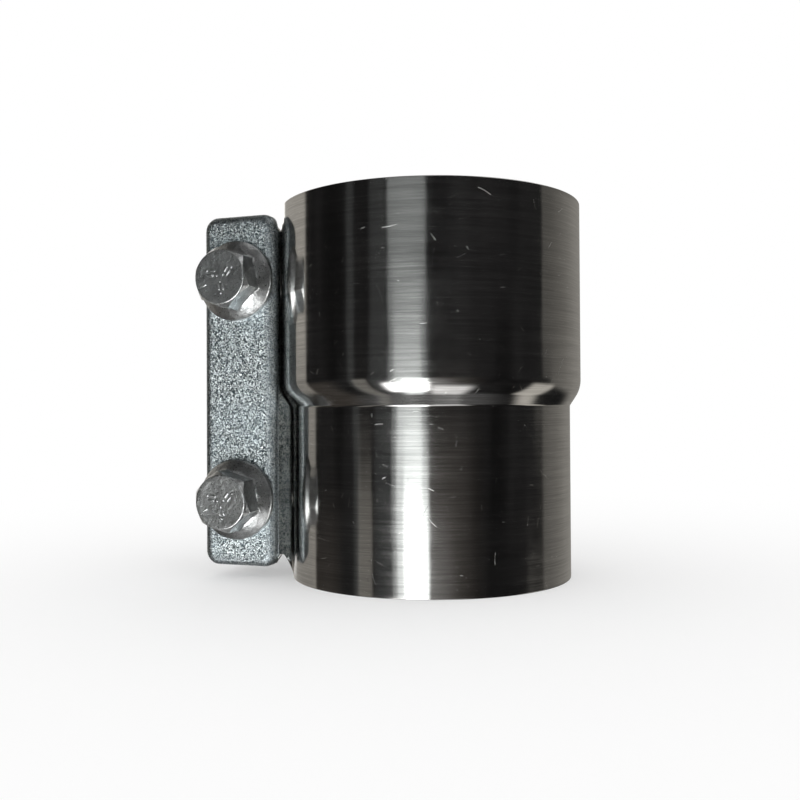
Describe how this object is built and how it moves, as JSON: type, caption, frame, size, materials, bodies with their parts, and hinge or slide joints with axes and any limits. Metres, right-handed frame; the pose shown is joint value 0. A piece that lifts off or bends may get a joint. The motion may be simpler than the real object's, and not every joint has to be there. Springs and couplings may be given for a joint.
{
  "type": "stepped pipe repair clamp",
  "caption": "Stepped stainless band clamp for joining or mending a slip joint between two thin pipes, drawn shut by flanged bolts through plated clamp bars.",
  "frame": {"origin": "on the band's axis, in the plane of the small end's rim", "axes": "+Z along the band's axis from the small end to the large end; the gap, flanges and bolts are towards -X; the bolts run along Y with their heads at -Y"},
  "size_m": [0.1027, 0.0848, 0.104],
  "materials": {
    "stainless_sheet": "bright, finely brushed round the band",
    "plated_bar": "coarse grained zinc plate",
    "plated_bolt": "smooth zinc plate",
    "plated_nut": "smooth zinc plate",
    "block_metal": "as extruded",
    "strip_sheet": "bright rolled"
  },
  "bodies": {
    "root": {"clamp_band": "stainless_sheet", "reaction_block": "block_metal", "seal_strip": "strip_sheet"},
    "bolt_jaw": {"bolt_side_bar": "plated_bar"},
    "nut_jaw": {"nut_side_bar": "plated_bar", "upper_nut": "plated_nut", "lower_nut": "plated_nut"},
    "upper_bolt": {"upper_bolt": "plated_bolt"},
    "lower_bolt": {"lower_bolt": "plated_bolt"}
  },
  "joints": [
    {"name": "bolt_jaw_close", "type": "slide", "parent": "root", "child": "bolt_jaw", "axis": [0, 1, 0], "range_m": [0, 0.003], "deforming": ["clamp_band"]},
    {"name": "nut_jaw_close", "type": "slide", "parent": "root", "child": "nut_jaw", "axis": [0, -1, 0], "range_m": [0, 0.003], "deforming": ["clamp_band"]},
    {"name": "upper_bolt_turn", "type": "hinge", "parent": "bolt_jaw", "child": "upper_bolt", "pos_m": [-0.0492, 0, 0.0831], "axis": [0, 1, 0], "range_deg": [0, 1440]},
    {"name": "lower_bolt_turn", "type": "hinge", "parent": "bolt_jaw", "child": "lower_bolt", "pos_m": [-0.0492, 0, 0.0221], "axis": [0, 1, 0], "range_deg": [0, 1440]}
  ],
  "couplings": [
    {"joint": "nut_jaw_close", "follows": "bolt_jaw_close", "ratio": 1},
    {"joint": "upper_bolt_turn", "follows": "bolt_jaw_close", "rad_per_m": 8377.6},
    {"joint": "lower_bolt_turn", "follows": "bolt_jaw_close", "rad_per_m": 8377.6}
  ]
}
